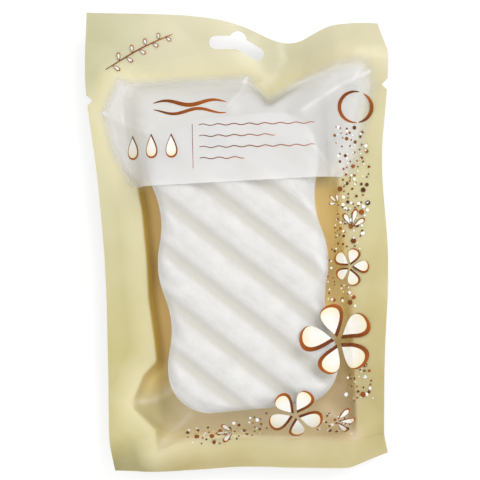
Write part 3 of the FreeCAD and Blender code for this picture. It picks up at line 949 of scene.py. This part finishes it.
def dot_place(chance):
    """A place by chance on the run down the right side or on the run along the foot."""
    share = chance.random()
    if share < DOWN_SHARE:
        line, start, length, stray, bend = DOWN_RUN
        y = start - share / DOWN_SHARE * length
        return line + RUN_SWING * math.sin(y / bend) + chance.uniform(-stray, stray), y
    line, start, length, stray, bend = FOOT_RUN
    x = start - (share - DOWN_SHARE) / (1 - DOWN_SHARE) * length
    return x, line + chance.uniform(-stray, stray) + RUN_SWING * math.sin(x / bend)


def draw_dots(bm, count, seed, smallest, largest):
    """Loose dots that follow the blossoms and keep clear of them and of each other."""
    chance = random.Random(seed)
    tint = bm.verts.layers.float["tint"]
    taken = [(*place, BLOSSOM_SHARE * radius) for place, radius, _ in BLOSSOMS]
    for _ in range(count):
        x, y = dot_place(chance)
        radius = smallest + (largest - smallest) * chance.random() ** 3
        if any(math.hypot(x - other[0], y - other[1]) < radius + other[2] + DOT_ROOM for other in taken):
            continue
        taken.append((x, y, radius))
        tone = chance.random()
        place = Matrix.Translation((x, y, 0))
        dot = bmesh.ops.create_circle(bm, cap_ends=True, segments=DOT_STEPS, radius=radius, matrix=place)
        for vert in dot["verts"]:
            vert[tint] = tone


def wave_path(start, length, height, bend, phase=0):
    """A path that runs to the right in waves."""
    return lambda t: (start[0] + length * t, start[1] + height * math.sin(bend * t + phase))


def ring_path(start, sweep):
    """A path along a part of the ring."""
    def path(t):
        angle = math.radians(start + sweep * t)
        x = RING_MIDDLE[0] + RING_RADII[0] * math.cos(angle)
        return x, RING_MIDDLE[1] + RING_RADII[1] * math.sin(angle)

    return path


def draw_waves(bm):
    """Brushed waves, an upright rule, fine wavy rules, drops and a broken ring on the white band."""
    for start, width, phase in BRUSHED_WAVES:
        stroke(bm, wave_path(start, length=33, height=1.1, bend=9.5, phase=phase), (0.2, width))
    x, top, length = UPRIGHT_RULE
    stroke(bm, lambda t: (x, top - length * t), (0.25, 0.25), steps=20)
    for row, length in enumerate(RULE_LENGTHS):
        start = (RULE_START[0], RULE_START[1] - RULE_PITCH * row)
        stroke(bm, wave_path(start, length, height=0.35, bend=0.9 * length), (0.3, 0.42), steps=90)
    for place in DROP_PLACES:
        teardrop(bm, (place, DROP_TIP), turn=180, length=11, width=7.5, rim=0.18, lean=0.5)
    for start, sweep in RING_STROKES:
        stroke(bm, ring_path(start, sweep), (0.2, 1.7))


def draw_twig(bm):
    """A slanting twig of small leaves on the header."""
    def stem(t):
        x = TWIG_FOOT[0] + TWIG_REACH[0] * t
        return x, TWIG_FOOT[1] + TWIG_REACH[1] * t + TWIG_BOW * math.sin(math.pi * t)

    stroke(bm, stem, (0.3, 0.6))
    for leaf in range(TWIG_LEAVES):
        place = stem(0.1 + 0.1 * leaf)
        turn = 5 if leaf % 2 else -125
        teardrop(bm, place, turn, length=4.2 - 0.15 * leaf, width=2.2, rim=0.4)


def make_stage():
    """A plain white floor, soft light and the camera over the pouch."""
    bm = bmesh.new()
    bmesh.ops.create_grid(bm, x_segments=1, y_segments=1, size=FLOOR_HALF)
    bmesh.ops.translate(bm, vec=(0, 0, -FLOOR_DROP * MM), verts=bm.verts[:])
    floor = mesh_piece("floor", bm)
    paper = Surface("white_floor")
    path = paper.nodes.new("ShaderNodeLightPath").outputs
    seen = path["Is Camera Ray"]
    for ray in ("Is Glossy Ray", "Is Transmission Ray"):
        either = paper.nodes.new("ShaderNodeMath")
        either.operation = "MAXIMUM"
        paper.put(either.inputs[0], seen)
        paper.put(either.inputs[1], path[ray])
        seen = either.outputs[0]
    paper.shade(
        Base_Color=(0.45, 0.45, 0.45),
        Roughness=0.9,
        Specular_IOR_Level=0.1,
        Emission_Color=(1, 1, 1),
        Emission_Strength=paper.ranged(seen, 0, 1, 0, 0.62),
    )
    floor.data.materials.append(paper.material)

    world = bpy.data.worlds.new("studio")
    scene.world = world
    world.use_nodes = True
    sky = world.node_tree.nodes["Background"].inputs
    sky["Color"].default_value = (1, 1, 1, 1)
    sky["Strength"].default_value = DAYLIGHT
    for name, (place, power, width) in LAMPS.items():
        lamp = bpy.data.lights.new(name, "AREA")
        lamp.energy = power
        lamp.size = width
        lamp_object = bpy.data.objects.new(name, lamp)
        lamp_object.location = place
        lamp_object.rotation_euler = (-Vector(place)).to_track_quat("-Z", "Y").to_euler()
        scene.collection.objects.link(lamp_object)

    camera = bpy.data.cameras.new("camera")
    camera.sensor_width = CAMERA_SENSOR
    camera.lens = CAMERA_SENSOR * CAMERA_HEIGHT / VIEW_WIDTH
    camera_object = bpy.data.objects.new("camera", camera)
    camera_object.location = (*CAMERA_SPOT, CAMERA_HEIGHT + SEAL_HEIGHT * MM)
    camera_object.rotation_euler = (0, 0, math.radians(CAMERA_TURN))
    scene.collection.objects.link(camera_object)
    scene.camera = camera_object
    scene.view_settings.view_transform = "Standard"


films = make_films()
print_material = white_print()
pouch_band = make_band("pouch_band", False, print_material)
header_band = make_band("header_print", True, print_material)
make_sponge()
outline_ink = ink("brown_ink", (0.1, 0.02, 0.001), (0.4, 0.1, 0.006))
cream_ink = ink("cream_ink", (0.86, 0.85, 0.84), (0.84, 0.69, 0.32))
dot_ink = ink("dot_ink", (0.045, 0.013, 0.002), (0.33, 0.09, 0.008))
pearl_ink = ink("pearl_ink", (0.9, 0.88, 0.85), (0.95, 0.95, 0.95))
front = films["clear_front"]
prints = [
    printed("blossom_print", draw_blossoms, front, BLOSSOM_LIFT, (outline_ink, cream_ink), "pouch"),
    printed("dot_print", lambda bm: draw_dots(bm, *DOTS), front, DOT_LIFT, (dot_ink,), "pouch"),
    printed("pearl_print", lambda bm: draw_dots(bm, *PEARLS), front, DOT_LIFT, (pearl_ink,), "pouch"),
    printed("wave_print", draw_waves, pouch_band, WAVE_LIFT, (outline_ink, cream_ink), "pouch"),
]
header_front = films["clear_header"]
twig = printed("twig_print", draw_twig, header_front, TWIG_LIFT, (outline_ink, cream_ink), "header")
make_stage()
